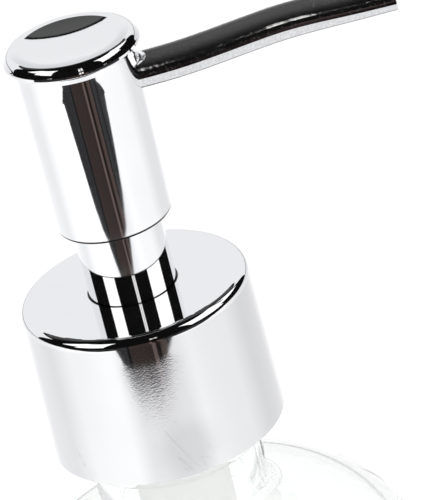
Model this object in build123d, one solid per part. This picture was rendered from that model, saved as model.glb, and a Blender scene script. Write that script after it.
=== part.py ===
from build123d import *
import os
from math import radians, sqrt, tan

# Soap pump dispenser: a round-shouldered glass bottle closed by a chrome lotion pump.
# Millimetres. The bottle stands on z = 0, +Z is up and the spout points along +X.
# Every piece is one solid, drawn where it sits with the pump up.

# ---- glass bottle ----
BODY_R = 37.5            # outside of the straight body
GLASS_WALL = 2.4
FLOOR = 3.6              # glass under the liquid
PUSH_UP = 3.0            # height of the hollow under the base
STAND_R = 24.0           # inner edge of the ring that the bottle stands on
HEEL_R = 5.0             # rounding between base and body
NECK_L = 59.7            # from the rim down to the end of the straight body
SHOULDER_R = 21.0        # round shoulder, in section
NECK_R = 14.2
NECK_FILLET = 5.0        # hollow curve from shoulder to neck, outside
BORE_R = 10.8            # mouth
BORE_FILLET = 7.0        # the same curve inside
BEAD_R = 15.6            # ring below the thread
BEAD_H = 2.2
BEAD_DROP = 23.0         # from the rim down to the top of the ring
BEAD_EDGE = 0.9
FINISH_R = 12.9          # outside of the mouth, under the threads
RIM_EDGE = 0.6
GLASS_H = 167.2

# ---- stack on the rim ----
GASKET_T = 1.2
FLANGE_T = 1.5
ROOF_T = 1.3             # top wall of the threaded closure
SHELL_T = 0.8            # sheet of the metal cap shell

# ---- cap ----
CAP_TOP_R = 19.0
CAP_BOTTOM_R = 19.5
CAP_H = 26.4
CAP_EDGE = 1.5
CLOSURE_RAISE = 0.8      # closure's lower edge above the shell's
CLOSURE_BORE_R = 13.95
CLOSURE_WALL = 1.65
RIB_COUNT = 12
RIB_T = 1.4

# ---- pump engine ----
FLANGE_R = 13.6
HOUSING_R = 9.3          # upper part, which holds the chaplet
CYLINDER_R = 6.6         # bore that the piston runs in
CYLINDER_WALL = 1.2
CHAPLET_R = 8.05
CHAPLET_DEPTH = 11.9     # below the top of the flange
CYLINDER_L = 32.0        # chaplet to the ledge above the inlet valve
CHAMBER_R = 3.4          # round the inlet ball
CHAMBER_DEPTH = 3.6
THROAT_R = 1.4
THROAT_L = 1.9
SOCKET_L = 12.5          # dip-tube socket
SOCKET_WALL = 1.65
DIP_R = 2.95
DIP_BORE_R = 2.1
DIP_CLEAR = 5.0          # dip tube's foot above the bottle's floor
INLET_BALL_R = 2.3
RETAINER_T = 1.0
RETAINER_HOLE_R = 1.7
FLOW_HOLE_R = 0.55
FLOW_HOLES = 6
SPRING_L = 23.0
SPRING_R = 4.7           # coil centre line
WIRE_R = 0.45
COILS = 6.5
CUP_T = 0.8
CUP_R = 5.8
CUP_GUIDE_L = 2.5
CUP_GUIDE_WALL = 0.7
PISTON_H = 7.0
LIP_H = 1.8
PISTON_WAIST_R = 5.5
PISTON_HOLE_R = 1.2
SEAT_H = 0.8             # conical seat of the outlet ball
STEM_SEAT_L = 4.8        # how deep the stem stands in the piston
OUTLET_BALL_R = 1.7
STEM_R = 3.4
STEM_BORE_R = 1.3
BALL_BORE_R = 2.3        # wider foot of the stem's bore
BALL_BORE_L = 3.4
STROKE = 12.5
GUIDE_L = 1.7            # upper stem guide in the chaplet
RELIEF_R = 4.6           # chaplet's inside between its two guides
CHAPLET_FLOOR = 1.4
WIPER_R = 5.4
WIPER_T = 1.5

# ---- collar sleeve ----
COLLAR_R = 7.3
COLLAR_WALL = 0.6
COLLAR_TOP_T = 0.8
COLLAR_HOLE_R = 4.2
COLLAR_RISE = 17.0       # above the cap
COLLAR_EDGE = 0.45

# ---- barrel and head ----
PRESS_GAP = 0.3          # barrel above the cap with the pump pressed down
BARREL_R = 9.46          # outside at the lower edge
BARREL_TOP_R = 9.8
BARREL_BORE_R = 8.35
BARREL_H = 30.4
BARREL_EDGE = 0.4
SWELL_H = 3.2            # slow swell that leads into the flare
SWELL_OUT = 0.075
FLARE_H = 1.4
FLARE_OUT = 0.75         # both together
RING_RAISE = 0.8         # guide ring above the barrel's lower edge
RING_H = 3.0
HEAD_R = 11.25
CREST_R = 8.3            # rim of the dish
DISH_DEPTH = 1.0
HEAD_H = 1.8
LIP_W = 1.4              # broad lip outside the crest
LIP_DROP = 0.07
RIM_WALL_H = 0.5         # almost upright wall under the rounded rim
RIM_WALL_IN = 0.05       # how far that wall draws in at its top
HEAD_EDGE = 0.15
PLUG_L = 1.4
CORE_GAP = 0.3           # core above the collar with the pump pressed down
STEM_TOP_DROP = 0.5      # from the spout's underside down to the stem's end

# ---- spout ----
SPOUT_DROP = 8.47        # from the barrel's top down to the flat underside at the root
SPOUT_RISE = 1.9         # how far the underside climbs
RISE_FROM = 12.0
RISE_TO = 38.0
SPOUT_ROOT_X = 6.0
SPOUT_TIP_X = 52.0
STATION_STEP = 6.0       # between the sections that the spout is lofted through
SPOUT_HALF_W = 3.0
ARCH_H = 3.45            # two arcs from the flat sides up to a soft ridge
SIDE_H = 1.75            # flat sides at the root
SIDE_LEAN = 10.0         # degrees that they draw in towards the underside
SIDE_TAPER = 0.5         # how much of them is gone at the tip
TAPER_FROM = 32.0
SPOUT_EDGE = 0.45
SPOUT_INNER_EDGE = 0.15
SPOUT_WALL = 0.5
END_WALL = 0.7
TIP_EDGE = 0.25
BOSS_L = 7.5             # core's boss inside the spout
TUBE_R = 1.4
TUBE_BORE_R = 0.95
TUBE_GRIP_L = 3.0
TUBE_LIFT = 0.1          # tube above the shell's floor
NOZZLE_L = 4.4
NOZZLE_R = 1.5
OUTLET_R = 1.05
OUTLET_BACK = 2.4        # outlet's centre back from the spout's end

# ---- fits ----
SLIDE_FIT = 0.1          # radial, pieces that slide or turn in each other
PRESS_FIT = 0.02         # radial, pieces that are pushed together
SEAT_GAP = 0.05          # between faces that meet across a joint
LIFT_FIT = 0.15          # collar in the cap's hole

# ---- levels and derived radii ----
SHOULDER_Z = GLASS_H - NECK_L
FLANGE_Z = GLASS_H + GASKET_T
ROOF_Z = FLANGE_Z + FLANGE_T
CAP_TOP_Z = ROOF_Z + ROOF_T + SHELL_T
CAP_Z = CAP_TOP_Z - CAP_H
CAP_HOLE_R = COLLAR_R + LIFT_FIT
SHELL_BORE_R = CAP_TOP_R - SHELL_T
CHAPLET_Z = ROOF_Z - CHAPLET_DEPTH
LEDGE_Z = CHAPLET_Z - CYLINDER_L
SEAT_Z = LEDGE_Z - CHAMBER_DEPTH - (CHAMBER_R - THROAT_R)
SOCKET_TOP_Z = SEAT_Z - THROAT_L
SOCKET_Z = SOCKET_TOP_Z - SOCKET_L
CYLINDER_OUT_R = CYLINDER_R + CYLINDER_WALL
SOCKET_OUT_R = DIP_R + SOCKET_WALL
SPRING_Z = LEDGE_Z + RETAINER_T
CUP_Z = SPRING_Z + SPRING_L
PISTON_Z = CUP_Z + CUP_T
STEM_Z = PISTON_Z + PISTON_H - STEM_SEAT_L
COLLAR_TOP_Z = CAP_TOP_Z + COLLAR_RISE
COLLAR_BORE_R = COLLAR_R - COLLAR_WALL
WIPER_Z = COLLAR_TOP_Z - COLLAR_TOP_T - WIPER_T
BARREL_Z = CAP_TOP_Z + PRESS_GAP + STROKE
HEAD_Z = BARREL_Z + BARREL_H
SPOUT_Z = HEAD_Z - SPOUT_DROP
CREST_Z = HEAD_Z + HEAD_H
CORE_Z = COLLAR_TOP_Z + STROKE + CORE_GAP
CORE_TOP_Z = HEAD_Z - PLUG_L - SEAT_GAP
CORE_R = BARREL_BORE_R - PRESS_FIT
STEM_TOP_Z = SPOUT_Z - STEM_TOP_DROP
NOZZLE_X = SPOUT_TIP_X - END_WALL - NOZZLE_L
TUBE_X = SPOUT_ROOT_X + BOSS_L - TUBE_GRIP_L
OUTLET_X = SPOUT_TIP_X - OUTLET_BACK


def turned(outline):
    """Solid of revolution about Z of a closed outline of (radius, height)."""
    return revolve(Plane.XZ * make_face(outline), Axis.Z)


def turned_polygon(*points):
    return turned(Polyline(*points, close=True))


def turned_rounded(*corners):
    """As turned_polygon, from (radius, height, rounding) corners."""
    points = [(r, z) for r, z, _ in corners]
    rounding = [edge for _, _, edge in corners]
    return turned(FilletPolyline(*points, radius=rounding, close=True))


def rod(radius, low, high, x=0.0):
    """Upright cylinder between two levels."""
    return Pos(x, 0, low) * Cylinder(radius, high - low, align=(Align.CENTER, Align.CENTER, Align.MIN))


def smooth(value, start, end):
    """0 before start, 1 after end, with a soft step between."""
    t = min(max((value - start) / (end - start), 0.0), 1.0)
    return t * t * (3 - 2 * t)


# ---- bottle ----
def vessel(body_r, shoulder_r, neck_r, neck_fillet, base_z, top_z):
    """Bottle-shaped solid: hollow base, heel, body, round shoulder and neck."""
    shoulder_x = body_r - shoulder_r
    reach = shoulder_r + neck_fillet
    across = neck_r + neck_fillet - shoulder_x
    up = sqrt(reach**2 - across**2)
    join = (shoulder_x + across * shoulder_r / reach, SHOULDER_Z + up * shoulder_r / reach)
    base = TangentArc((0, base_z + PUSH_UP), (STAND_R, base_z), tangent=(1, 0))
    stand = Line((STAND_R, base_z), (body_r - HEEL_R, base_z))
    heel = TangentArc((body_r - HEEL_R, base_z), (body_r, base_z + HEEL_R), tangent=(1, 0))
    body = Line((body_r, base_z + HEEL_R), (body_r, SHOULDER_Z))
    shoulder = TangentArc((body_r, SHOULDER_Z), join, tangent=(0, 1))
    neck_curve = TangentArc((neck_r, SHOULDER_Z + up), join, tangent=(0, -1))
    neck = Polyline((neck_r, SHOULDER_Z + up), (neck_r, top_z), (0, top_z), (0, base_z + PUSH_UP))
    return turned([base, stand, heel, body, shoulder, neck_curve, neck])


def glass_bottle():
    bead_top = GLASS_H - BEAD_DROP
    bead_low = bead_top - BEAD_H
    glass = vessel(BODY_R, SHOULDER_R, NECK_R, NECK_FILLET, 0, bead_top)
    glass += turned_rounded(
        (FINISH_R / 2, bead_low, 0), (BEAD_R, bead_low, BEAD_EDGE),
        (BEAD_R, bead_top, BEAD_EDGE), (FINISH_R / 2, bead_top, 0))
    glass += rod(FINISH_R, bead_low, GLASS_H)
    glass -= vessel(BODY_R - GLASS_WALL, SHOULDER_R - GLASS_WALL, BORE_R, BORE_FILLET, FLOOR, GLASS_H)
    return fillet(glass.edges().group_by(Axis.Z)[-1], RIM_EDGE)


def neck_gasket():
    inner = HOUSING_R + 2 * SLIDE_FIT
    return turned_polygon((inner, GLASS_H), (FINISH_R, GLASS_H), (FINISH_R, FLANGE_Z), (inner, FLANGE_Z))


# ---- cap ----
def cap_shell():
    return turned_rounded(
        (CAP_HOLE_R, CAP_TOP_Z, 0), (CAP_TOP_R, CAP_TOP_Z, CAP_EDGE), (CAP_BOTTOM_R, CAP_Z, 0),
        (CAP_BOTTOM_R - SHELL_T, CAP_Z, 0), (SHELL_BORE_R, CAP_TOP_Z - SHELL_T, CAP_EDGE - SHELL_T),
        (CAP_HOLE_R, CAP_TOP_Z - SHELL_T, 0))


def threaded_closure():
    """Plastic cap inside the shell: it screws onto the glass and clamps the pump's flange."""
    foot = CAP_Z + CLOSURE_RAISE
    roof_top = ROOF_Z + ROOF_T
    skirt_r = CLOSURE_BORE_R + CLOSURE_WALL
    reach = SHELL_BORE_R - PRESS_FIT
    closure = turned_polygon(
        (CAP_HOLE_R, ROOF_Z), (CLOSURE_BORE_R, ROOF_Z), (CLOSURE_BORE_R, foot), (skirt_r, foot),
        (skirt_r, ROOF_Z), (reach, ROOF_Z), (reach, roof_top - CAP_EDGE / 2),
        (reach - CAP_EDGE / 2, roof_top), (CAP_HOLE_R, roof_top))
    rib_l = reach - CLOSURE_BORE_R - CLOSURE_WALL / 2
    rib = Pos(reach - rib_l, 0, foot) * Box(
        rib_l, RIB_T, roof_top - foot - CAP_EDGE, align=(Align.MIN, Align.CENTER, Align.MIN))
    return closure + [Rot(Z=i * 360 / RIB_COUNT) * rib for i in range(RIB_COUNT)]


# ---- pump body ----
def pump_housing():
    """Flange, chaplet seat, cylinder, inlet valve seat and dip-tube socket."""
    chaplet_bore = CHAPLET_R + SEAT_GAP
    step = HOUSING_R - CYLINDER_OUT_R
    cone = CYLINDER_OUT_R - SOCKET_OUT_R
    cylinder_low = LEDGE_Z - CYLINDER_WALL
    return turned_polygon(
        (chaplet_bore, ROOF_Z), (FLANGE_R, ROOF_Z), (FLANGE_R, FLANGE_Z), (HOUSING_R, FLANGE_Z),
        (HOUSING_R, CHAPLET_Z), (CYLINDER_OUT_R, CHAPLET_Z - step), (CYLINDER_OUT_R, cylinder_low),
        (SOCKET_OUT_R, cylinder_low - 1.5 * cone), (SOCKET_OUT_R, SOCKET_Z), (DIP_R, SOCKET_Z),
        (DIP_R, SOCKET_TOP_Z), (THROAT_R, SOCKET_TOP_Z), (THROAT_R, SEAT_Z),
        (CHAMBER_R, SEAT_Z + CHAMBER_R - THROAT_R), (CHAMBER_R, LEDGE_Z), (CYLINDER_R, LEDGE_Z),
        (CYLINDER_R, CHAPLET_Z), (chaplet_bore, CHAPLET_Z))


def chaplet():
    """Insert that closes the housing, guides the stem and carries the collar sleeve."""
    guide = STEM_R + SLIDE_FIT
    tower = COLLAR_BORE_R - SEAT_GAP
    top = COLLAR_TOP_Z - COLLAR_TOP_T
    return turned_polygon(
        (guide, CHAPLET_Z), (CHAPLET_R, CHAPLET_Z), (CHAPLET_R, ROOF_Z), (tower, ROOF_Z),
        (tower, top), (WIPER_R, top), (WIPER_R, WIPER_Z), (guide, WIPER_Z),
        (guide, WIPER_Z - GUIDE_L), (RELIEF_R, WIPER_Z - GUIDE_L),
        (RELIEF_R, CHAPLET_Z + CHAPLET_FLOOR), (guide, CHAPLET_Z + CHAPLET_FLOOR))


def stem_wiper():
    inner = STEM_R + SEAT_GAP
    outer = WIPER_R - PRESS_FIT
    mid = WIPER_Z + WIPER_T / 2
    return turned_polygon(
        (inner, mid), (inner + WIPER_T / 4, WIPER_Z), (outer, WIPER_Z),
        (outer, WIPER_Z + WIPER_T), (inner + WIPER_T / 4, WIPER_Z + WIPER_T))


def collar_sleeve():
    return turned_rounded(
        (COLLAR_BORE_R, ROOF_Z, 0), (COLLAR_R, ROOF_Z, 0), (COLLAR_R, COLLAR_TOP_Z, COLLAR_EDGE),
        (COLLAR_HOLE_R, COLLAR_TOP_Z, 0), (COLLAR_HOLE_R, COLLAR_TOP_Z - COLLAR_TOP_T, 0),
        (COLLAR_BORE_R, COLLAR_TOP_Z - COLLAR_TOP_T, 0))


def dip_tube():
    """Straight tube with its foot cut at 45 degrees so that it can't seal on the glass."""
    foot = FLOOR + PUSH_UP + DIP_CLEAR
    tube = rod(DIP_R, foot - DIP_R, SOCKET_TOP_Z) - rod(DIP_BORE_R, foot - DIP_R, SOCKET_TOP_Z)
    slope = Pos(0, 0, foot) * Rot(Y=45) * Box(
        8 * DIP_R, 8 * DIP_R, 4 * DIP_R, align=(Align.CENTER, Align.CENTER, Align.MAX))
    return tube - slope


def ball_retainer():
    """Disc on the cylinder's ledge: it keeps the inlet ball down and carries the spring."""
    disc = rod(CYLINDER_R - SEAT_GAP, LEDGE_Z, SPRING_Z) - rod(RETAINER_HOLE_R, LEDGE_Z, SPRING_Z)
    flow_r = (RETAINER_HOLE_R + CHAMBER_R) / 2 + FLOW_HOLE_R / 2
    hole = rod(FLOW_HOLE_R, LEDGE_Z, SPRING_Z, x=flow_r)
    return disc - [Rot(Z=i * 360 / FLOW_HOLES) * hole for i in range(FLOW_HOLES)]


def seated_ball(radius, seat_r, seat_z):
    """Ball resting in a 45 degree seat whose narrow end is at seat_z."""
    return Pos(0, 0, seat_z - seat_r + radius * sqrt(2) + SEAT_GAP) * Sphere(radius)


def inlet_ball():
    return seated_ball(INLET_BALL_R, THROAT_R, SEAT_Z)


# ---- piston group ----
def return_spring():
    rise = SPRING_L - 2 * (WIRE_R + SEAT_GAP)
    path = Pos(0, 0, SPRING_Z + WIRE_R + SEAT_GAP) * Helix(rise / COILS, rise, SPRING_R)
    return sweep(Plane(origin=path @ 0, z_dir=path % 0) * Circle(WIRE_R), path, is_frenet=True)


def spring_cup():
    guide_r = SPRING_R - WIRE_R - SLIDE_FIT
    bore = guide_r - CUP_GUIDE_WALL
    return turned_polygon(
        (bore, CUP_Z - CUP_GUIDE_L), (guide_r, CUP_Z - CUP_GUIDE_L), (guide_r, CUP_Z),
        (CUP_R, CUP_Z), (CUP_R, PISTON_Z), (bore, PISTON_Z))


def piston():
    """Two lips on a waist; the stem stands in it and the outlet ball sits in its cone."""
    lip = CYLINDER_R - SEAT_GAP
    socket = STEM_R + SEAT_GAP
    top = PISTON_Z + PISTON_H
    seat_r = PISTON_HOLE_R + SEAT_H
    return turned_polygon(
        (PISTON_HOLE_R, PISTON_Z), (lip, PISTON_Z), (lip, PISTON_Z + LIP_H / 2),
        (PISTON_WAIST_R, PISTON_Z + LIP_H), (PISTON_WAIST_R, top - LIP_H), (lip, top - LIP_H / 2),
        (lip, top), (socket, top), (socket, STEM_Z), (seat_r, STEM_Z),
        (PISTON_HOLE_R, STEM_Z - SEAT_H))


def outlet_ball():
    return seated_ball(OUTLET_BALL_R, PISTON_HOLE_R, STEM_Z - SEAT_H)


# ---- spout lines, shared by shell, core, tube and nozzle ----
def spout_floor(x):
    """Level of the spout's flat underside."""
    return SPOUT_Z + SPOUT_RISE * smooth(x, RISE_FROM, RISE_TO)


def spout_side(x):
    """Height of the spout's flat sides."""
    return SIDE_H - SIDE_TAPER * smooth(x, TAPER_FROM, SPOUT_TIP_X)


def spout_section(x, inset, corner):
    """Arched section across the spout, drawn inset from its outer skin."""
    half = SPOUT_HALF_W - inset
    low = spout_floor(x) + inset
    spring = spout_floor(x) + spout_side(x)
    turn = low + corner * tan(radians(45 - SIDE_LEAN / 2))
    foot = half - (spring - turn) * tan(radians(SIDE_LEAN))
    ridge = (0, spring + ARCH_H - inset)
    outline = [
        Line((corner - foot, low), (foot - corner, low)),
        TangentArc((foot - corner, low), (foot, turn), tangent=(1, 0)),
        Line((foot, turn), (half, spring)),
        TangentArc((half, spring), ridge, tangent=(0, 1)),
        TangentArc((-half, spring), ridge, tangent=(0, 1)),
        Line((-half, spring), (-foot, turn)),
        TangentArc((corner - foot, low), (-foot, turn), tangent=(-1, 0)),
    ]
    return Plane.YZ.offset(x) * make_face(outline)


def slab(start, end):
    """Space between two planes across the spout."""
    size = 4 * HEAD_R
    return Pos(start, 0, HEAD_Z) * Box(end - start, size, size, align=(Align.MIN, Align.CENTER, Align.CENTER))


def spout_stations():
    """Even stations along the whole spout, from the barrel's axis to past the tip."""
    end = SPOUT_TIP_X + STATION_STEP
    count = round(end / STATION_STEP)
    return [end * i / count for i in range(count + 1)]


def spout_form(start, end, inset=0.0, corner=SPOUT_EDGE):
    """Stretch of the spout's form; every inset shares one set of stations, so that they nest."""
    return loft([spout_section(x, inset, corner) for x in spout_stations()]) & slab(start, end)


def tube_z(x):
    """Centre line of the liquid tube inside the spout."""
    return spout_floor(x) + SPOUT_WALL + TUBE_LIFT + TUBE_R


def tube_form(radius, start, end):
    circles = [Plane.YZ.offset(x) * Pos(0, tube_z(x)) * Circle(radius) for x in spout_stations()]
    return loft(circles) & slab(start, end)


def spout_shell():
    shell = spout_form(SPOUT_ROOT_X, SPOUT_TIP_X)
    shell = fillet(shell.faces().sort_by(Axis.X)[-1].edges(), TIP_EDGE)
    shell -= spout_form(SPOUT_ROOT_X, SPOUT_TIP_X - END_WALL, SPOUT_WALL, SPOUT_INNER_EDGE)
    low = spout_floor(OUTLET_X)
    return shell - rod(NOZZLE_R + PRESS_FIT, low - SPOUT_WALL, low + 2 * SPOUT_WALL, x=OUTLET_X)


def spout_tube():
    end = NOZZLE_X + TUBE_GRIP_L / 2
    return tube_form(TUBE_R, TUBE_X, end) - tube_form(TUBE_BORE_R, TUBE_X, end)


def nozzle_tip():
    """Block in the spout's end that turns the liquid down through the underside."""
    end = SPOUT_TIP_X - END_WALL
    tip = spout_form(NOZZLE_X, end, SPOUT_WALL + PRESS_FIT, SPOUT_INNER_EDGE)
    tip += rod(NOZZLE_R, spout_floor(OUTLET_X), spout_floor(OUTLET_X) + SPOUT_WALL + TUBE_R, x=OUTLET_X)
    tip -= tube_form(TUBE_R + PRESS_FIT, NOZZLE_X, NOZZLE_X + TUBE_GRIP_L / 2)
    tip -= tube_form(TUBE_BORE_R, NOZZLE_X, OUTLET_X)
    return tip - rod(OUTLET_R, spout_floor(OUTLET_X), tube_z(OUTLET_X), x=OUTLET_X)


# ---- head group ----
def stem():
    foot = STEM_Z + SEAT_GAP
    tube = rod(STEM_R, foot, STEM_TOP_Z) - rod(STEM_BORE_R, foot, STEM_TOP_Z)
    return tube - rod(BALL_BORE_R, foot, foot + BALL_BORE_L)


def actuator_core():
    """Plastic heart of the head: grips the stem, fills the barrel and feeds the spout."""
    boss_end = SPOUT_ROOT_X + BOSS_L
    core = rod(CORE_R, CORE_Z, CORE_TOP_Z) - rod(STEM_R, CORE_Z, STEM_TOP_Z)
    core -= spout_form(SPOUT_ROOT_X, boss_end, -PRESS_FIT)
    core += spout_form(SPOUT_ROOT_X - SPOUT_WALL, boss_end, SPOUT_WALL + PRESS_FIT, SPOUT_INNER_EDGE)
    core -= tube_form(TUBE_R, TUBE_X, boss_end)
    core -= tube_form(TUBE_BORE_R, 0, TUBE_X)
    return core - rod(TUBE_BORE_R, STEM_TOP_Z, tube_z(0))


def barrel_shell():
    bend = HEAD_Z - FLARE_H
    outline = FilletPolyline(
        (BARREL_BORE_R, HEAD_Z), (BARREL_BORE_R, BARREL_Z), (BARREL_R, BARREL_Z),
        (BARREL_TOP_R, bend - SWELL_H), radius=[0, BARREL_EDGE])
    swell = TangentArc(
        (BARREL_TOP_R, bend - SWELL_H), (BARREL_TOP_R + SWELL_OUT, bend), tangent=(0, 1))
    flare = TangentArc(swell @ 1, (BARREL_TOP_R + FLARE_OUT, HEAD_Z), tangent=swell % 1)
    top = Line((BARREL_TOP_R + FLARE_OUT, HEAD_Z), (BARREL_BORE_R, HEAD_Z))
    return turned([outline, swell, flare, top]) - spout_form(SPOUT_ROOT_X, SPOUT_ROOT_X + BOSS_L, -PRESS_FIT)


def barrel_guide_ring():
    inner = COLLAR_R + SLIDE_FIT
    outer = BARREL_BORE_R - PRESS_FIT
    low = BARREL_Z + RING_RAISE
    return turned_polygon((inner, low), (outer, low), (outer, low + RING_H), (inner, low + RING_H))


def head_cap():
    """Dished disc with a broad lip and a rounded rim, plugged into the top of the barrel."""
    plug_r = BARREL_BORE_R - PRESS_FIT
    dish = TangentArc((0, CREST_Z - DISH_DEPTH), (CREST_R, CREST_Z), tangent=(1, 0))
    lip = TangentArc(dish @ 1, (CREST_R + LIP_W, CREST_Z - LIP_DROP), tangent=(1, 0))
    rim = TangentArc(lip @ 1, (HEAD_R - RIM_WALL_IN, HEAD_Z + RIM_WALL_H), tangent=lip % 1)
    wall = Line(rim @ 1, (HEAD_R, HEAD_Z + HEAD_EDGE))
    edge = TangentArc(wall @ 1, (HEAD_R - HEAD_EDGE, HEAD_Z), tangent=(0, -1))
    plug = Polyline(
        edge @ 1, (plug_r, HEAD_Z), (plug_r, HEAD_Z - PLUG_L), (0, HEAD_Z - PLUG_L), dish @ 0)
    return turned([dish, lip, rim, wall, edge, plug])


PIECES = [
    glass_bottle, neck_gasket, cap_shell, threaded_closure, pump_housing, chaplet, stem_wiper,
    collar_sleeve, dip_tube, ball_retainer, inlet_ball, return_spring, spring_cup, piston,
    outlet_ball, stem, actuator_core, barrel_shell, barrel_guide_ring, head_cap, spout_shell,
    spout_tube, nozzle_tip,
]

os.makedirs("parts", exist_ok=True)
for piece in PIECES:
    export_step(piece(), f"parts/{piece.__name__}.step")
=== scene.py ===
from math import cos, pi, radians, sin

import bpy
from mathutils import Matrix, Vector


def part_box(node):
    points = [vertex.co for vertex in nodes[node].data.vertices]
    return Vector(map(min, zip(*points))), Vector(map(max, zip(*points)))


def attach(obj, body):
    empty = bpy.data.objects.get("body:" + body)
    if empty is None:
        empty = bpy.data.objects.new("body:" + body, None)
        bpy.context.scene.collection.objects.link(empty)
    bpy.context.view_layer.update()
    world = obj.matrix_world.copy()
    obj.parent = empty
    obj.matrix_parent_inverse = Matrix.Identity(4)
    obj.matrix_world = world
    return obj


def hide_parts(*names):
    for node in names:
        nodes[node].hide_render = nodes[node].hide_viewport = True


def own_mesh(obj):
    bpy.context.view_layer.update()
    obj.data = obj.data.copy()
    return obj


# Soap pump dispenser: finishes, screw threads, return spring, studio and camera.
# Metres, in the frame of the solids: the bottle stands on z = 0 and the spout points along +X.

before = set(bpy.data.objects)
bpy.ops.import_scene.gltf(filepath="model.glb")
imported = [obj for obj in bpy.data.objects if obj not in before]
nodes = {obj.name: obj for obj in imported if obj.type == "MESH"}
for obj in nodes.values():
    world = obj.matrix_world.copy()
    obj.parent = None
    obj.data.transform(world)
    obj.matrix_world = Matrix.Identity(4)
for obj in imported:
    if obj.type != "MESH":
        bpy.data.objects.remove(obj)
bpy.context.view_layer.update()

MM = 0.001

# ---- levels and radii read from the solids ----
CAP_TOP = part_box("cap_shell")[1].z
SLEEVE_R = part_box("collar_sleeve")[1].x
HEAD_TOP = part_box("head_cap")[1].z
HEAD_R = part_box("head_cap")[1].x
RIM_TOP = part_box("glass_bottle")[1].z

# ---- camera ----
VIEW_DISTANCE = 0.80033   # metres from the middle of the cap's top
VIEW_HEIGHT = 0.471143    # radians above the level
VIEW_PAN = -0.0189556     # small turns of the camera itself, in radians
VIEW_TILT = -0.0021863
VIEW_ROLL = -0.2565060
VIEW_LENS = 353.77        # millimetres, for the sensor's width below
SENSOR_WIDTH = 36.0
VIEW_END = 20.0           # metres, behind everything in the studio

# ---- studio: distances in metres, azimuths and elevations in degrees ----
STUDIO_R = 1.6            # walls and softboxes
LAMP_R = 0.45             # the small twin lamp beside the camera
STUDIO_CENTRE = Vector((0, 0, 0.19))
FLOOR_R = 4.0
FAR_SIDE = (131, 243)     # azimuths of the white wall behind
WALL_LOW = 0.6            # elevations where that wall begins and ends
WALL_TOP = 37
SOFTBOXES = {
    "left_softbox": ((-74, -43), (19, 58)),
    "right_softbox": ((45, 88), (19, 58)),
    "left_softbox_top": ((-94, -74), (30, 58)),
    "right_softbox_top": ((88, 125), (30, 58))}
TUBE_SIDES = {"left": (2.6, 5.6), "right": (6.6, 9.6)}
TUBE_LEVELS = {"lower": (21.5, 27.5), "upper": (29.5, 32.5)}
CARD_STEPS = 24
FLOOR_CORNERS = 64
TABLE_LIFT = 0.5 * MM     # the dark room's ground lies this far above the floor
ROOM_SIDE = 60            # how far the dark room's furniture reaches to each side
TABLE_EDGE = (            # front edge of the pale table, from left to right
    (-4.0, -0.30), (-0.50, -0.31), (-0.40, -0.345), (-0.30, -0.342), (-0.24, -0.330),
    (-0.20, -0.318), (-0.13, -0.328), (-0.06, -0.345), (0.03, -0.352), (0.11, -0.350),
    (0.17, -0.342), (0.24, -0.339), (0.27, -0.336), (0.30, -0.345), (0.33, -0.36),
    (0.40, -0.36), (0.50, -0.31), (4.0, -0.29))


class Wire:
    """A value in a node tree. Arithmetic on it adds the Math nodes."""

    def __init__(self, tree, socket):
        self.tree = tree
        self.socket = socket

    def math(self, operation, *others):
        return self.tree.math(operation, self, *others)

    def __add__(self, other):
        return self.math("ADD", other)

    def __sub__(self, other):
        return self.math("SUBTRACT", other)

    def __rsub__(self, other):
        return self.tree.math("SUBTRACT", other, self)

    def __mul__(self, other):
        return self.math("MULTIPLY", other)

    def __truediv__(self, other):
        return self.math("DIVIDE", other)

    __radd__ = __add__
    __rmul__ = __mul__


class Tree:
    """Any node tree; `node` adds one node and gives one of its outputs as a Wire."""

    def __init__(self, tree):
        self.tree = tree
        self.tree.nodes.clear()

    def node(self, kind, settings=None, sockets=None, output=0):
        """Adds any node: its settings first, then the values or links of its sockets."""
        made = self.tree.nodes.new(kind)
        for name, value in (settings or {}).items():
            if name == "stops":
                self.set_stops(made.color_ramp, value)
            else:
                setattr(made, name, value)
        for name, value in (sockets or {}).items():
            socket = made.inputs[name]
            if isinstance(value, Wire):
                self.tree.links.new(value.socket, socket)
            else:
                socket.default_value = value
        return Wire(self, made.outputs[output]) if len(made.outputs) else None

    @staticmethod
    def set_stops(ramp, stops):
        while len(ramp.elements) < len(stops):
            ramp.elements.new(1.0)
        for element, (place, colour) in zip(ramp.elements, stops):
            element.position = place
            element.color = colour

    def math(self, operation, *values):
        return self.node("ShaderNodeMath", {"operation": operation}, dict(enumerate(values)))


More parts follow.
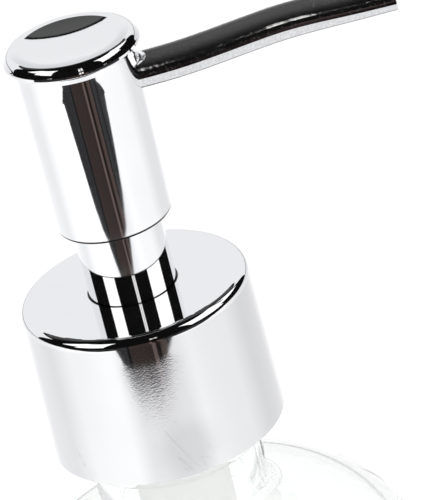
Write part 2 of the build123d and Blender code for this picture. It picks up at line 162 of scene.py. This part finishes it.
class Finish(Tree):
    """Node tree of one material or of the world."""

    def __init__(self, owner):
        owner.use_nodes = True
        self.owner = owner
        super().__init__(owner.node_tree)

    def place(self):
        """Object coordinates, which are metres in the frame."""
        return self.node("ShaderNodeTexCoord", output="Object")

    def parts(self, vector):
        """The x, y and z of a vector."""
        split = self.node("ShaderNodeSeparateXYZ", sockets={"Vector": vector}).socket.node
        return [Wire(self, split.outputs[i]) for i in range(3)]

    def distance(self, a, b):
        """Length of the two sides a and b together."""
        return (a * a + b * b).math("SQRT")

    def stretched(self, vector, scale, turn=(0, 0, 0)):
        return self.node("ShaderNodeMapping", sockets={
            "Vector": vector, "Scale": scale, "Rotation": turn})

    def noise(self, vector, scale, detail=2.0, roughness=0.5):
        return self.node("ShaderNodeTexNoise", sockets={
            "Vector": vector, "Scale": scale, "Detail": detail, "Roughness": roughness})

    def ramp(self, value, *stops):
        """Grey ramp from (place, level) stops."""
        colours = [(place, (level, level, level, 1)) for place, level in stops]
        return self.node("ShaderNodeValToRGB", {"stops": colours}, {"Fac": value})

    def step(self, value, low, high, blend="SMOOTHSTEP"):
        """0 at low, 1 at high, soft between. Low may be the greater one, for a fall."""
        return self.node("ShaderNodeMapRange", {"interpolation_type": blend}, {
            "Value": value, "From Min": low, "From Max": high})

    def mix(self, factor, first, second):
        """Colour between first and second. This node's colour sockets are found by number."""
        return self.node(
            "ShaderNodeMix", {"data_type": "RGBA"}, {0: factor, 6: first, 7: second}, output=2)

    def bump(self, height, depth, strength=1.0):
        return self.node("ShaderNodeBump", sockets={
            "Height": height, "Distance": depth, "Strength": strength})

    def surface(self, shader):
        of_world = isinstance(self.owner, bpy.types.World)
        kind = "ShaderNodeOutputWorld" if of_world else "ShaderNodeOutputMaterial"
        self.node(kind, sockets={"Surface": shader})
        return self.owner

    def principled(self, **sockets):
        named = {name.replace("_", " "): value for name, value in sockets.items()}
        return self.surface(self.node("ShaderNodeBsdfPrincipled", sockets=named))


def new_finish(name):
    return Finish(bpy.data.materials.new(name))


# ---- finishes ----
WHITE = (1, 1, 1, 1)
BRIGHT_CHROME = (0.93, 0.935, 0.945, 1)
DARK_JOINT_AND_SHADE = (0.02, 0.02, 0.02, 1)     # painted shade along the barrel's lower edge, and the dark of an open joint

EDGE_SHADE_HEIGHT = 0.42 * MM      # height of the barrel's painted shade along its lower edge, and where it fades out
EDGE_SHADE_FADE = 0.12 * MM

ROLL_START = 1.75 * MM     # the head's rim begins to roll over this far inside its edge
ROLL_LENGTH = 2.8 * MM
ROLL_DEPTH = 0.5 * MM
DARK_ARC_FROM = 1.8 * MM      # the darker arc, painted shade on the rim's front, fades in and is full so far inside the roll's start
DARK_ARC_FULL = 0.4 * MM
DARK_ARC_PAST = 0.3 * MM      # and ends so far outside it
DARK_ARC_FRONT = (1.0 * MM, -5.0 * MM)  # y between which it fades in towards the front

SATIN_EDGE = (1.9 * MM, 1.35 * MM)   # depths below the cap's top between satin and polish
WORN_EDGE = (3.5 * MM, 6.0 * MM)     # depths between the side's smooth top and its full grain
DARK_PATCH_X = 2.0 * MM                     # middle of the dark patch on the cap's front, a painted dark reflection where hairlines also gather
DARK_PATCH_Z = 150.5 * MM
DARK_PATCH_SIZE = (1.5 * MM, 7.0 * MM)      # radii of its full part and of its end
DARK_PATCH_FRONT = (0.0, -5.0 * MM)         # y between which it fades in towards the front
SCRATCH_TURN = (0, 0.6, 0)           # radians, how far the hairlines lean
SEAM_WIDTH = (0.2 * MM, 0.35 * MM)   # the seam's full and faded width round the sleeve
SEAM_DEPTH = 0.2 * MM                # and how far below the cap's top it fades out


def polished_chrome(name="polished_chrome", shaded_edge=None, roll=None):
    """Decorative chrome: near mirror, with a faint orange peel, wiping haze and a few pin marks.

    Below the level of a shaded edge the metal is painted dark, a painted shade along the lower
    edge. A roll tightens a rounded rim: from its radius and level on, the surface falls away softly
    over its length. The front of such a rim carries a darker arc, a painted shade.
    """
    f = new_finish(name)
    place = f.place()
    x, y, z = f.parts(place)
    haze = f.noise(place, 90.0, 3.0)
    peel = f.noise(place, 420.0, 1.0)
    pins = f.step(f.noise(place, 1700.0, 1.0), 0.80, 0.86)
    tone = f.mix(haze * 0.5 + pins * 0.5, BRIGHT_CHROME, (0.82, 0.825, 0.84, 1))
    normal = f.bump(peel - pins, 2e-6, 0.3)
    # painted shade: the metal is painted dark along the barrel's lower edge
    if shaded_edge is not None:
        tone = f.mix(f.step(z, shaded_edge, shaded_edge + EDGE_SHADE_FADE), DARK_JOINT_AND_SHADE, tone)
    if roll is not None:
        start, level, length = roll
        radius = f.distance(x, y)
        # painted shade: a darker arc on the front of the head's rim
        painted_arc = f.step(radius, start - DARK_ARC_FROM, start - DARK_ARC_FULL)
        painted_arc = painted_arc * (1 - f.step(radius, start, start + DARK_ARC_PAST)) * f.step(y, *DARK_ARC_FRONT)
        tone = f.mix(painted_arc * (0.5 + haze * 0.6), tone, (0.70, 0.705, 0.715, 1))
        travel = radius - start + (level - z)
        normal = f.node("ShaderNodeBump", sockets={
            "Height": 1 - f.step(travel, 0.0, length), "Distance": ROLL_DEPTH, "Strength": 1.0,
            "Normal": normal})
    return f.principled(
        Base_Color=tone,
        Metallic=1.0,
        Roughness=0.03 + haze * 0.02 + pins * 0.1,
        Normal=normal)


def spout_chrome():
    """Chrome of the spout: a dried film on top, and painted dark by slope: a specked band of painted
    dark reflection, a painted shade on the underside and lower sides painted darker over a fine grain.

    The zones follow the slope: up is 1 on top, 0 on an upright side and -1 on the underside.
    """
    f = new_finish("spout_chrome")
    place = f.place()
    up = f.parts(f.node("ShaderNodeNewGeometry", output="Normal"))[2]
    haze = f.noise(place, 150.0, 3.0)
    specks = f.step(f.noise(place, 2600.0, 1.0), 0.61, 0.68)
    grain = f.step(f.noise(place, 2400.0, 2.0), 0.3, 0.7)
    top = f.step(up, 0.45, 0.93)
    # painted reflection and shade by slope: a dark band, a dark underside and darker lower sides
    painted_band = f.step(up, 0.30, 0.10) * f.step(up, -0.09, -0.05)
    lower_side = f.step(up, -0.05, -0.12)
    underside = f.step(up, -0.3, -0.6)
    film = top * (0.8 + haze * 0.4) + painted_band * specks * 2.0
    grain_and_shade = f.mix(grain, (0.68, 0.685, 0.69, 1), (0.82, 0.825, 0.83, 1))
    tone = f.mix(lower_side, (0.92, 0.92, 0.93, 1), grain_and_shade)
    tone = f.mix(painted_band, tone, (0.12, 0.12, 0.13, 1))
    tone = f.mix(underside, tone, (0.05, 0.05, 0.055, 1))
    return f.principled(
        Base_Color=f.mix(haze * 0.25, tone, (0.66, 0.66, 0.67, 1)),
        Metallic=1 - film * 0.05,
        Roughness=0.05 + haze * 0.03 + specks * 0.1,
        Normal=f.bump(haze + specks * 0.3, 2e-6, 0.4))


def satin_cap():
    """Cap shell: polished top and edge, and a satin side with fine grain and hairline scratches.

    The side is worn smooth just under its edge. On its front a dark patch is a painted dark
    reflection, where hairline scratches also gather. A dark seam runs round the collar sleeve.
    """
    f = new_finish("satin_cap")
    place = f.place()
    x, y, z = f.parts(place)
    haze = f.noise(place, 60.0, 3.0)
    side = 1 - f.step(z, CAP_TOP - SATIN_EDGE[0], CAP_TOP - SATIN_EDGE[1])
    coarse = 0.1 + 0.9 * f.step(z, CAP_TOP - WORN_EDGE[0], CAP_TOP - WORN_EDGE[1])
    grain = f.noise(f.stretched(place, (1.0, 1.0, 1.2)), 3200.0) * coarse
    # painted dark reflection on the cap's front; the hairline scratches gather in the same patch
    reflection_and_scratch_patch = 1 - f.step(f.distance(x - DARK_PATCH_X, z - DARK_PATCH_Z), *DARK_PATCH_SIZE)
    reflection_and_scratch_patch = reflection_and_scratch_patch * f.step(y, *DARK_PATCH_FRONT)
    slanted = f.stretched(f.stretched(place, (1, 1, 1), SCRATCH_TURN), (1, 1, 0.12))
    line = (f.noise(slanted, 650.0, 1.0) - 0.5).math("ABSOLUTE")
    scratched = f.step(f.noise(place, 55.0, 1.0), 0.56, 0.66).math("MAXIMUM", reflection_and_scratch_patch)
    hairlines = (1 - f.step(line, 0.004, 0.02)) * scratched * side
    polished = f.mix(haze, BRIGHT_CHROME, (0.88, 0.885, 0.90, 1))
    satin = f.mix(
        haze * 0.4 + reflection_and_scratch_patch * 0.9 + hairlines * 0.4, (0.80, 0.803, 0.812, 1), (0.69, 0.693, 0.703, 1))
    seam = 1 - f.step(f.distance(x, y), SLEEVE_R + SEAM_WIDTH[0], SLEEVE_R + SEAM_WIDTH[1])
    seam = seam * f.step(z, CAP_TOP - SEAM_DEPTH, CAP_TOP)
    return f.principled(
        Base_Color=f.mix(seam, f.mix(side, polished, satin), DARK_JOINT_AND_SHADE),
        Metallic=1.0,
        Roughness=0.03 + side * coarse * (0.03 + haze * 0.02 + hairlines * 0.1),
        Normal=f.bump(grain * side - hairlines * 0.5, 3.4e-6, 1.0))


def clear_glass():
    f = new_finish("clear_glass")
    place = f.place()
    wave = f.noise(place, 35.0, 2.0)
    return f.principled(
        Base_Color=f.mix(wave, (0.985, 0.997, 0.990, 1), (0.978, 0.994, 0.985, 1)),
        Roughness=0.0,
        IOR=1.5,
        Transmission_Weight=1.0,
        Normal=f.bump(wave, 2e-4, 0.35))


def moulded_plastic(name, colour, shade, roughness, milky=0.0, painted_glow=0.0):
    """Injection-moulded plastic with a faint grain and slow colour drift.

    Milky lets light through, and painted_glow is a painted glow: emission that makes the plastic
    lighter, though it is no lamp.
    """
    f = new_finish(name)
    place = f.place()
    drift = f.noise(place, 70.0, 2.0)
    grain = f.noise(place, 6000.0, 2.0)
    return f.principled(
        Base_Color=f.mix(drift, (*colour, 1), (*shade, 1)),
        Roughness=roughness + drift * 0.08,
        Transmission_Weight=milky,
        # painted glow: emission colour and strength make the plastic shine
        Emission_Color=f.mix(drift, (1.0, 1.0, 1.0, 1), (0.97, 0.98, 0.97, 1)),
        Emission_Strength=painted_glow,
        Normal=f.bump(grain, 6e-6, 0.4))


def foam_gasket():
    f = new_finish("foam_gasket")
    place = f.place()
    cells = f.node("ShaderNodeTexVoronoi", sockets={"Vector": place, "Scale": 4000.0})
    return f.principled(
        Base_Color=f.mix(cells, (0.80, 0.80, 0.78, 1), (0.90, 0.90, 0.88, 1)),
        Roughness=0.8 + cells * 0.15,
        Normal=f.bump(cells, 5e-5, 0.6))


def seal_rubber():
    f = new_finish("seal_rubber")
    place = f.place()
    bloom = f.noise(place, 900.0, 3.0)
    return f.principled(
        Base_Color=f.mix(bloom, (0.26, 0.26, 0.26, 1), (0.32, 0.32, 0.31, 1)),
        Roughness=0.55 + bloom * 0.2,
        Normal=f.bump(bloom, 1e-5, 0.5))


def drawn_wire():
    f = new_finish("drawn_wire")
    place = f.place()
    lines = f.noise(f.stretched(place, (1, 1, 14.0)), 900.0, 3.0)
    return f.principled(
        Base_Color=f.mix(lines, (0.56, 0.56, 0.57, 1), (0.68, 0.68, 0.68, 1)),
        Metallic=1.0,
        Roughness=0.2 + lines * 0.15,
        Normal=f.bump(lines, 5e-6, 0.4))


def ground_ball():
    f = new_finish("ground_ball")
    haze = f.noise(f.place(), 1800.0, 2.0)
    return f.principled(
        Base_Color=f.mix(haze, (0.60, 0.60, 0.61, 1), (0.70, 0.70, 0.70, 1)),
        Metallic=1.0,
        Roughness=0.06 + haze * 0.05,
        Normal=f.bump(haze, 1e-6, 0.3))


FINISHES = {
    "clear_glass": clear_glass(),
    "chrome": polished_chrome(),
    "satin_metal": satin_cap(),
    "white_plastic": moulded_plastic("white_plastic", (0.84, 0.84, 0.82), (0.80, 0.80, 0.78), 0.28),
    "natural_plastic": moulded_plastic(
        "natural_plastic", (0.97, 0.97, 0.965), (0.95, 0.95, 0.94), 0.35, milky=0.05, painted_glow=0.08),
    "gasket_foam": foam_gasket(),
    "seal_rubber": seal_rubber(),
    "spring_steel": drawn_wire(),
    "valve_steel": ground_ball(),
}

for solid in nodes.values():
    for holder in solid.material_slots:
        holder.material = FINISHES[holder.material.name.split(".")[0]]
nodes["spout_shell"].material_slots[0].material = spout_chrome()
nodes["barrel_shell"].material_slots[0].material = polished_chrome(
    "barrel_chrome", shaded_edge=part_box("barrel_shell")[0].z + EDGE_SHADE_HEIGHT)
nodes["head_cap"].material_slots[0].material = polished_chrome(
    "head_chrome", roll=(HEAD_R - ROLL_START, HEAD_TOP, ROLL_LENGTH))


# ---- screw threads and return spring ----
THREAD_PITCH = 4.2 * MM
THREAD_TURNS = 2.3
RIDGE_WIDTH = 1.5 * MM
RIDGE_DEPTH = 0.5 * MM
NECK_THREAD_R = 12.9 * MM
CLOSURE_THREAD_R = 13.95 * MM
THREAD_DROP = 13.2 * MM    # from the glass rim down to where the thread starts
WIRE_R = 0.45 * MM
COILS = 6.5
STEPS_PER_TURN = 120
SECTION_CORNERS = 16
RUN_OUT = 22.0             # how soon a thread grows to its full size from its ends


def coil_tree():
    """Helix of oval section. Ends 0 lets it run out softly at both ends, Ends 1 keeps it full."""
    group = bpy.data.node_groups.new("helix", "GeometryNodeTree")
    wanted = ("Radius", "Pitch", "Turns", "Width", "Depth", "Level", "Ends")
    for name in wanted:
        group.interface.new_socket(name, in_out="INPUT", socket_type="NodeSocketFloat")
    group.interface.new_socket("Finish", in_out="INPUT", socket_type="NodeSocketMaterial")
    group.interface.new_socket("Geometry", in_out="OUTPUT", socket_type="NodeSocketGeometry")
    g = Tree(group)
    source = g.node("NodeGroupInput").socket.node
    size = {name: Wire(g, source.outputs[name]) for name in (*wanted, "Finish")}
    helix = g.node("GeometryNodeCurveSpiral", sockets={
        "Resolution": STEPS_PER_TURN, "Rotations": size["Turns"], "Start Radius": size["Radius"],
        "End Radius": size["Radius"], "Height": size["Pitch"] * size["Turns"]})
    lift = g.node("ShaderNodeCombineXYZ", sockets={"Z": size["Level"]})
    helix = g.node("GeometryNodeTransform", sockets={"Geometry": helix, "Translation": lift})
    helix = g.node("GeometryNodeSetCurveNormal", {"mode": "Z_UP"}, {"Curve": helix})
    along = g.node("GeometryNodeSplineParameter")
    run_out = (along * (1 - along) * RUN_OUT + size["Ends"]).math("MINIMUM", 1.0)
    helix = g.node("GeometryNodeSetCurveRadius", sockets={"Curve": helix, "Radius": run_out})
    ring = g.node("GeometryNodeCurvePrimitiveCircle", {"mode": "RADIUS"}, {
        "Resolution": SECTION_CORNERS, "Radius": 1.0})
    spread = g.node("ShaderNodeCombineXYZ", sockets={
        "X": size["Depth"], "Y": size["Width"] / 2, "Z": 1.0})
    ridge = g.node("GeometryNodeTransform", sockets={"Geometry": ring, "Scale": spread})
    body = g.node("GeometryNodeCurveToMesh", sockets={
        "Curve": helix, "Profile Curve": ridge, "Fill Caps": True})
    body = g.node("GeometryNodeSetShadeSmooth", sockets={"Geometry": body})
    body = g.node("GeometryNodeRealizeInstances", sockets={"Geometry": body})
    body = g.node("GeometryNodeSetMaterial", sockets={"Geometry": body, "Material": size["Finish"]})
    g.node("NodeGroupOutput", sockets={"Geometry": body})
    return group


def grown(name, group, finish, **sizes):
    """Plain mesh piece grown by a geometry tree from its named sizes."""
    holder = bpy.data.objects.new(name, bpy.data.meshes.new(name))
    bpy.context.scene.collection.objects.link(holder)
    growth = holder.modifiers.new("growth", "NODES")
    growth.node_group = group
    sizes["Finish"] = finish
    for item in group.interface.items_tree:
        if item.in_out == "INPUT" and item.name in sizes:
            growth[item.identifier] = sizes[item.name]
    bpy.context.view_layer.update()
    seen = holder.evaluated_get(bpy.context.evaluated_depsgraph_get())
    holder.data = bpy.data.meshes.new_from_object(seen)
    holder.modifiers.clear()
    return holder


def build_spring(tree):
    """The return spring stands on the retainer, built at its rest length; the real one shortens as the
    head goes down.
    """
    low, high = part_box("return_spring")
    rise = high.z - low.z - 2 * WIRE_R
    spring = grown(
        "coil_spring", tree, FINISHES["spring_steel"], Radius=high.x - WIRE_R, Pitch=rise / COILS,
        Turns=COILS, Width=2 * WIRE_R, Depth=WIRE_R, Level=low.z + WIRE_R, Ends=1.0)
    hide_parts("return_spring")
    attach(spring, "pump")
    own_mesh(spring)


def build_threads(tree):
    """Screw thread outside the neck, and the closure's own inside it, half a pitch higher."""
    level = RIM_TOP - THREAD_DROP
    ridge = {
        "Pitch": THREAD_PITCH, "Turns": THREAD_TURNS, "Width": RIDGE_WIDTH, "Depth": RIDGE_DEPTH}
    neck = grown(
        "neck_thread", tree, FINISHES["clear_glass"], Radius=NECK_THREAD_R, Level=level, **ridge)
    neck.visible_shadow = False
    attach(neck, "bottle")
    inside = grown(
        "closure_thread", tree, FINISHES["white_plastic"], Radius=CLOSURE_THREAD_R,
        Level=level + THREAD_PITCH / 2, **ridge)
    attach(inside, "closure")


# ---- studio ----
def stage_mesh(name, points, faces, material):
    """Mesh that belongs to the studio and not to the dispenser."""
    mesh = bpy.data.meshes.new(name)
    mesh.from_pydata(points, [], faces)
    mesh.materials.append(material)
    made = bpy.data.objects.new(name, mesh)
    bpy.context.scene.collection.objects.link(made)
    return made


def reflection_only(made):
    """A card that only polished surfaces see."""
    made.visible_camera = False
    made.visible_diffuse = False
    made.visible_transmission = False
    made.visible_shadow = False
    made.visible_volume_scatter = False


def glow(name, colour, strength=1.0):
    f = new_finish(name)
    return f.surface(f.node("ShaderNodeEmission", sockets={
        "Color": (*colour, 1), "Strength": strength}))


def direction(azimuth, elevation):
    """Unit vector; azimuth 0 points at the camera and grows towards the spout."""
    a, e = radians(azimuth), radians(elevation)
    return Vector((sin(a) * cos(e), -cos(a) * cos(e), sin(e)))


def studio_card(name, azimuths, elevations, material, distance=STUDIO_R):
    """Curved card that fills a window of directions around the dispenser."""
    wide = CARD_STEPS + 1
    places = [(row, column) for row in range(wide) for column in range(wide)]
    points = []
    for row, column in places:
        azimuth = azimuths[0] + (azimuths[1] - azimuths[0]) * column / CARD_STEPS
        elevation = elevations[0] + (elevations[1] - elevations[0]) * row / CARD_STEPS
        points.append(STUDIO_CENTRE + distance * direction(azimuth, elevation))
    corners = [row * wide + column for row, column in places if row < CARD_STEPS and column < CARD_STEPS]
    faces = [(i, i + 1, i + wide + 1, i + wide) for i in corners]
    reflection_only(stage_mesh(name, points, faces, material))


def floor_finish():
    """Pale floor: white to the eye, with a soft shadow; in the metal it is toned by direction, with
    painted light on its left and painted shade on its right.
    """
    f = new_finish("pale_floor")
    path = f.node("ShaderNodeLightPath").socket.node
    seen, glossy, through = [
        Wire(f, path.outputs[f"Is {kind} Ray"]) for kind in ("Camera", "Glossy", "Transmission")]
    shown = seen.math("MAXIMUM", glossy).math("MAXIMUM", through)
    mirrored = glossy * (1 - through)
    x, y, z = f.parts(f.place())
    around = x.math("ARCTAN2", y * -1).math("ABSOLUTE") / pi
    tone = f.ramp(
        around, (0.0, 0.72), (0.13, 0.76), (0.21, 1.0), (0.46, 1.0), (0.60, 0.75), (0.78, 0.76),
        (0.92, 0.97), (1.0, 1.0))
    toned = f.mix(tone, (0.0, 0.0, 0.06, 1), WHITE)
    # painted light on the left of the floor and painted shade on its right, seen only in the metal
    bright_side = f.step(x, -0.36, -0.26) * (1 - f.step(x, -0.08, 0.04))
    shaded_side = f.step(x, 0.10, 0.32)
    level = 1.0 + mirrored * (0.12 + bright_side * 0.1 - shaded_side * 0.19)
    matt = f.node("ShaderNodeBsdfDiffuse", sockets={"Color": (0.93, 0.93, 0.93, 1)})
    lit = f.node("ShaderNodeEmission", sockets={
        "Color": f.mix(mirrored, WHITE, toned), "Strength": level})
    return f.surface(f.node("ShaderNodeMixShader", sockets={0: shown * 0.72, 1: matt, 2: lit}))


def build_floor():
    turns = [2 * pi * i / FLOOR_CORNERS for i in range(FLOOR_CORNERS)]
    ring = [(FLOOR_R * cos(turn), FLOOR_R * sin(turn), 0) for turn in turns]
    stage_mesh("pale_floor", ring, [tuple(range(FLOOR_CORNERS))], floor_finish())


def dark_ground():
    """Dark room beyond the front edge of the pale table, seen only in the metal.

    Across its width stand plain bands of furniture, warm in the middle and cool outside.
    """
    edge = [(x, y, TABLE_LIFT) for x, y in TABLE_EDGE]
    far = [(x, -FLOOR_R, TABLE_LIFT) for x, y in TABLE_EDGE]
    last = len(edge)
    strips = [(i, i + last, i + last + 1, i + 1) for i in range(last - 1)]
    f = new_finish("dark_ground")
    x, y, z = f.parts(f.place())
    bearing = x.math("ARCTAN2", y * -1) * (180 / pi)
    furniture = f.ramp(
        f.step(bearing, -ROOM_SIDE, ROOM_SIDE, "LINEAR"),
        (0.0, 0.030), (0.32, 0.034), (0.335, 0.004), (0.35, 0.036), (0.52, 0.030), (0.53, 0.11),
        (0.55, 0.11), (0.56, 0.012), (0.585, 0.012), (0.595, 0.06), (0.635, 0.07), (0.65, 0.012),
        (0.67, 0.045), (0.72, 0.035), (0.73, 0.010), (0.74, 0.045), (1.0, 0.04))
    spread = f.node("ShaderNodeCombineXYZ", sockets={"X": bearing / ROOM_SIDE})
    streaks = f.noise(spread, 24.0, 4.0, 0.6)
    warm = f.step(bearing, -19, -17) * (1 - f.step(bearing, 16, 20))
    tint = f.mix(warm, (1.0, 1.0, 1.06, 1), (1.28, 0.94, 0.86, 1))
    tone = f.node("ShaderNodeVectorMath", {"operation": "SCALE"}, {
        0: tint, "Scale": furniture * (0.55 + streaks * 0.9)})
    finish = f.surface(f.node("ShaderNodeEmission", sockets={"Color": tone, "Strength": 1.0}))
    reflection_only(stage_mesh("dark_ground", edge + far, strips, finish))


def build_world():
    """Even white for the eye and matt surfaces; polished ones see a dark ceiling, paler behind."""
    world = bpy.data.worlds.new("studio")
    bpy.context.scene.world = world
    f = Finish(world)

    def sky(strength):
        return f.node("ShaderNodeBackground", sockets={"Color": WHITE, "Strength": strength})

    path = f.node("ShaderNodeLightPath").socket.node
    diffuse, glossy, through = [
        Wire(f, path.outputs[f"Is {kind} Ray"]) for kind in ("Diffuse", "Glossy", "Transmission")]
    x, y, z = f.parts(f.node("ShaderNodeTexCoord", output="Generated"))
    behind = f.step(y, 0.35, 0.75) * f.step(z, 0.56, 0.64) * (1 - f.step(z, 0.80, 0.88))
    lit = f.node("ShaderNodeMixShader", sockets={0: diffuse, 1: sky(1.0), 2: sky(0.9)})
    dark = sky(0.004 + behind * 0.095)
    f.surface(f.node("ShaderNodeMixShader", sockets={0: glossy * (1 - through), 1: lit, 2: dark}))


def soft_lamp(name, place, aim, size, power):
    """Round lamp that lights matt surfaces only."""
    lamp = bpy.data.lights.new(name, "AREA")
    lamp.shape = "DISK"
    lamp.size = size
    lamp.energy = power
    made = bpy.data.objects.new(name, lamp)
    made.location = place
    made.rotation_euler = (Vector(aim) - Vector(place)).to_track_quat("-Z", "Y").to_euler()
    made.visible_glossy = False
    made.visible_camera = False
    made.visible_transmission = False
    bpy.context.scene.collection.objects.link(made)


def build_studio():
    wall = glow("far_wall", (0.90, 0.905, 0.915))
    studio_card("far_wall", FAR_SIDE, (WALL_LOW, WALL_TOP), wall)
    black = glow("black_flag", (1.0, 1.0, 1.0), 0.004)
    studio_card("far_wall_top", FAR_SIDE, (WALL_TOP, WALL_TOP + 2), black)
    grey = glow("horizon_line", (0.72, 0.72, 0.75))
    studio_card("far_horizon", FAR_SIDE, (WALL_LOW - 1, WALL_LOW), grey)
    softbox = glow("softbox", (1.0, 1.0, 1.0), 1.3)
    for name, (azimuths, elevations) in SOFTBOXES.items():
        studio_card(name, azimuths, elevations, softbox)
    tube = glow("lamp_tube", (1.0, 0.98, 0.95), 1.1)
    for side, azimuths in TUBE_SIDES.items():
        for height, elevations in TUBE_LEVELS.items():
            studio_card(f"{side}_{height}_tube", azimuths, elevations, tube, LAMP_R)
    build_floor()
    dark_ground()
    build_world()
    soft_lamp("overhead", (0.35, -0.5, 1.5), (0, 0, 0.1), size=1.0, power=12.0)
    soft_lamp("front_fill", (0.1, -1.4, 0.35), (0, 0, 0.12), size=0.8, power=9.0)


def build_camera():
    """Long lens from in front and above, rolled so that the dispenser leans to the left."""
    centre = Vector((0, 0, CAP_TOP))
    away = Vector((0, -cos(VIEW_HEIGHT), sin(VIEW_HEIGHT)))
    forward = -away
    right = Vector((1, 0, 0))
    down = forward.cross(right)
    look = Matrix((right, down, forward))
    turn = (Matrix.Rotation(VIEW_ROLL, 3, "Z") @ Matrix.Rotation(VIEW_TILT, 3, "X")
            @ Matrix.Rotation(VIEW_PAN, 3, "Y") @ look)
    axes = Matrix((turn[0], -turn[1], -turn[2])).transposed().to_4x4()
    lens = bpy.data.cameras.new("camera")
    lens.lens = VIEW_LENS
    lens.sensor_width = SENSOR_WIDTH
    lens.clip_end = VIEW_END
    made = bpy.data.objects.new("camera", lens)
    made.matrix_world = Matrix.Translation(centre + VIEW_DISTANCE * away) @ axes
    bpy.context.scene.collection.objects.link(made)
    bpy.context.scene.camera = made


nodes["glass_bottle"].visible_shadow = False     # clear glass lets the light through to the floor
helix = coil_tree()
build_threads(helix)
build_spring(helix)
build_studio()
build_camera()
bpy.context.scene.view_settings.view_transform = "Standard"
